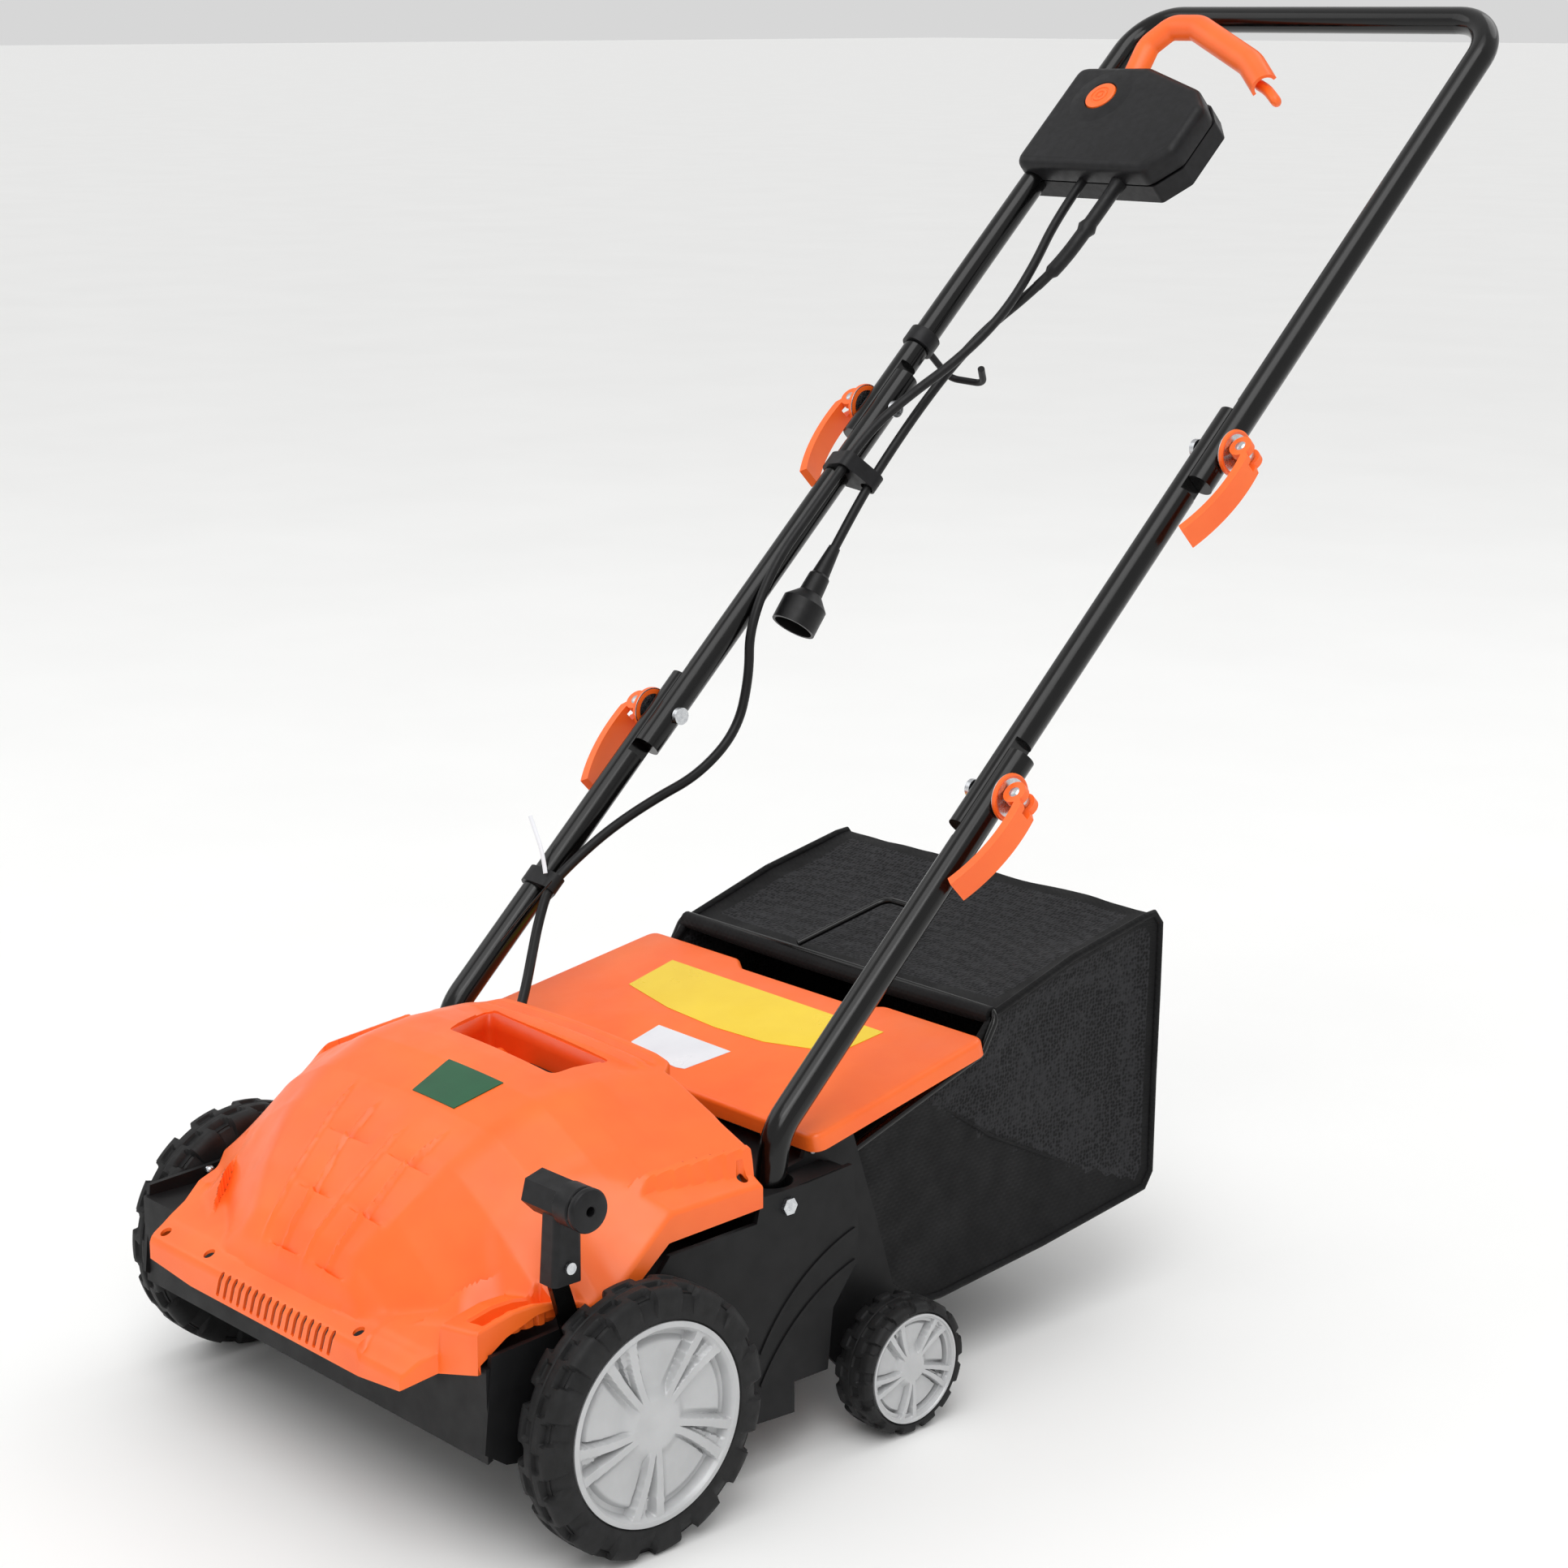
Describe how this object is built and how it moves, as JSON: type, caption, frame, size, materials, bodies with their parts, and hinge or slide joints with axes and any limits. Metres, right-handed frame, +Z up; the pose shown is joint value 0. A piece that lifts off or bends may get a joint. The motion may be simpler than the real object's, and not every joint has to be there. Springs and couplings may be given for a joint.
{
  "type": "electric lawn dethatcher",
  "caption": "Electric walk-behind lawn dethatcher with a tine reel, four wheels, grass bag, discharge flap and folding tube handle.",
  "frame": {"origin": "on the ground under the middle of the machine's box", "axes": "+Z up, +Y toward the handle, +X to the operator's left"},
  "size_m": [0.508, 1.0926, 0.999],
  "materials": {
    "deck_plastic": "moulded, fine texture",
    "cover_plastic": "satin moulded",
    "tube_paint": "gloss powder coat",
    "steel": "zinc plated",
    "tyre_rubber": "moulded tread",
    "wheel_plastic": "satin moulded",
    "belt_rubber": "ribbed",
    "bag_cloth": "woven mesh and cloth",
    "cord_jacket": "smooth jacket",
    "motor_steel": "pressed can",
    "bronze": "sintered",
    "black_plastic": "moulded"
  },
  "bodies": {
    "root": {"deck": "deck_plastic", "deck_bolts": "steel", "top_cover": "cover_plastic", "cover_screws": "steel", "motor_can": "motor_steel", "belt": "belt_rubber", "reel_bearings": "steel", "axle_bushes": "bronze", "rear_axle": "steel", "rear_axle_clips": "steel", "flap_pin": "steel", "lower_tube_left": "tube_paint", "lower_tube_right": "tube_paint", "lower_joint_bolts": "steel", "cord_clip_lower": "black_plastic", "motor_cord_lower": "cord_jacket"},
    "height_crank": {"front_axle": "tube_paint", "front_axle_clips": "steel", "height_lever": "black_plastic", "lever_screw": "steel"},
    "front_wheel_l": {"front_tyre_left": "tyre_rubber", "front_wheel_left": "wheel_plastic", "front_wheel_cover_left": "wheel_plastic"},
    "front_wheel_r": {"front_tyre_right": "tyre_rubber", "front_wheel_right": "wheel_plastic", "front_wheel_cover_right": "wheel_plastic"},
    "rear_wheel_l": {"rear_tyre_left": "tyre_rubber", "rear_wheel_left": "wheel_plastic", "rear_wheel_cover_left": "wheel_plastic"},
    "rear_wheel_r": {"rear_tyre_right": "tyre_rubber", "rear_wheel_right": "wheel_plastic", "rear_wheel_cover_right": "wheel_plastic"},
    "reel": {"reel_shaft": "motor_steel", "reel_tines": "motor_steel", "reel_pulley": "black_plastic"},
    "rotor": {"motor_rotor": "motor_steel", "motor_fan": "black_plastic", "drive_pulley": "black_plastic"},
    "flap": {"flap": "cover_plastic"},
    "bag": {"bag_fabric": "bag_cloth", "bag_frame": "tube_paint", "bag_handle": "tube_paint"},
    "middle_handle": {"middle_tube_left": "tube_paint", "middle_tube_right": "tube_paint", "cord_clip_middle": "black_plastic", "plug": "cord_jacket"},
    "upper_handle": {"upper_handle": "tube_paint", "upper_joint_bolts": "steel", "switch_box_back": "black_plastic", "switch_box_front": "black_plastic", "switch": "black_plastic", "cord_hook": "black_plastic", "motor_cord_upper": "cord_jacket", "plug_cord": "cord_jacket"},
    "bail": {"bail": "cover_plastic"},
    "button": {"start_button": "cover_plastic"},
    "cam_lower_left": {"cam_lever_lower_left": "cover_plastic"},
    "cam_lower_right": {"cam_lever_lower_right": "cover_plastic"},
    "cam_upper_left": {"cam_lever_upper_left": "cover_plastic"},
    "cam_upper_right": {"cam_lever_upper_right": "cover_plastic"}
  },
  "joints": [
    {"name": "height_adjust", "type": "hinge", "parent": "root", "child": "height_crank", "pos_m": [0, -0.43275, 0.09969], "axis": [1, 0, 0], "range_deg": [0, 30]},
    {"name": "front_wheel_left_roll", "type": "hinge", "parent": "height_crank", "child": "front_wheel_l", "pos_m": [0.236, -0.4115, 0.094], "axis": [1, 0, 0], "continuous": true},
    {"name": "front_wheel_right_roll", "type": "hinge", "parent": "height_crank", "child": "front_wheel_r", "pos_m": [-0.236, -0.4115, 0.094], "axis": [1, 0, 0], "continuous": true},
    {"name": "rear_wheel_left_roll", "type": "hinge", "parent": "root", "child": "rear_wheel_l", "pos_m": [0.216, -0.1552, 0.05], "axis": [1, 0, 0], "continuous": true},
    {"name": "rear_wheel_right_roll", "type": "hinge", "parent": "root", "child": "rear_wheel_r", "pos_m": [-0.216, -0.1552, 0.05], "axis": [1, 0, 0], "continuous": true},
    {"name": "reel_spin", "type": "hinge", "parent": "root", "child": "reel", "pos_m": [0, -0.3065, 0.076], "axis": [1, 0, 0], "continuous": true},
    {"name": "rotor_spin", "type": "hinge", "parent": "root", "child": "rotor", "pos_m": [0, -0.3915, 0.196], "axis": [1, 0, 0], "continuous": true},
    {"name": "flap_lift", "type": "hinge", "parent": "root", "child": "flap", "pos_m": [0, -0.2135, 0.218], "axis": [1, 0, 0], "range_deg": [0, 32]},
    {"name": "bag_slide", "type": "slide", "parent": "root", "child": "bag", "axis": [0, 1, 0], "range_m": [0, 0.35]},
    {"name": "handle_fold_lower", "type": "hinge", "parent": "root", "child": "middle_handle", "pos_m": [0, -0.03365, 0.44591], "axis": [1, 0, 0], "range_deg": [0, 136], "deforming": ["motor_cord_lower"]},
    {"name": "handle_fold_upper", "type": "hinge", "parent": "middle_handle", "child": "upper_handle", "pos_m": [0, 0.20458, 0.67282], "axis": [-1, 0, 0], "range_deg": [0, 130], "deforming": ["motor_cord_upper", "plug_cord"]},
    {"name": "bail_squeeze", "type": "hinge", "parent": "upper_handle", "child": "bail", "pos_m": [-0.146, 0.46612, 0.92745], "axis": [-1, 0, 0], "range_deg": [0, 12], "stiffness_Nm_per_rad": 0.6, "springref_deg": -22.92},
    {"name": "button_press", "type": "slide", "parent": "upper_handle", "child": "button", "axis": [0, 0.6897, -0.7241], "range_m": [0, 0.0025], "stiffness_N_per_m": 400, "springref_m": -0.003},
    {"name": "cam_lower_left_open", "type": "hinge", "parent": "root", "child": "cam_lower_left", "pos_m": [0.2119, -0.03365, 0.44591], "axis": [0, -0.6897, 0.7241], "range_deg": [0, 100]},
    {"name": "cam_upper_left_open", "type": "hinge", "parent": "upper_handle", "child": "cam_upper_left", "pos_m": [0.2119, 0.20458, 0.67282], "axis": [0, -0.6897, 0.7241], "range_deg": [0, 100]},
    {"name": "cam_lower_right_open", "type": "hinge", "parent": "root", "child": "cam_lower_right", "pos_m": [-0.2119, -0.03365, 0.44591], "axis": [0, 0.6897, -0.7241], "range_deg": [0, 100]},
    {"name": "cam_upper_right_open", "type": "hinge", "parent": "upper_handle", "child": "cam_upper_right", "pos_m": [-0.2119, 0.20458, 0.67282], "axis": [0, 0.6897, -0.7241], "range_deg": [0, 100]}
  ],
  "couplings": [
    {"joint": "handle_fold_upper", "follows": "handle_fold_lower", "ratio": 0.95588},
    {"joint": "rotor_spin", "follows": "reel_spin", "ratio": 2.3333}
  ]
}
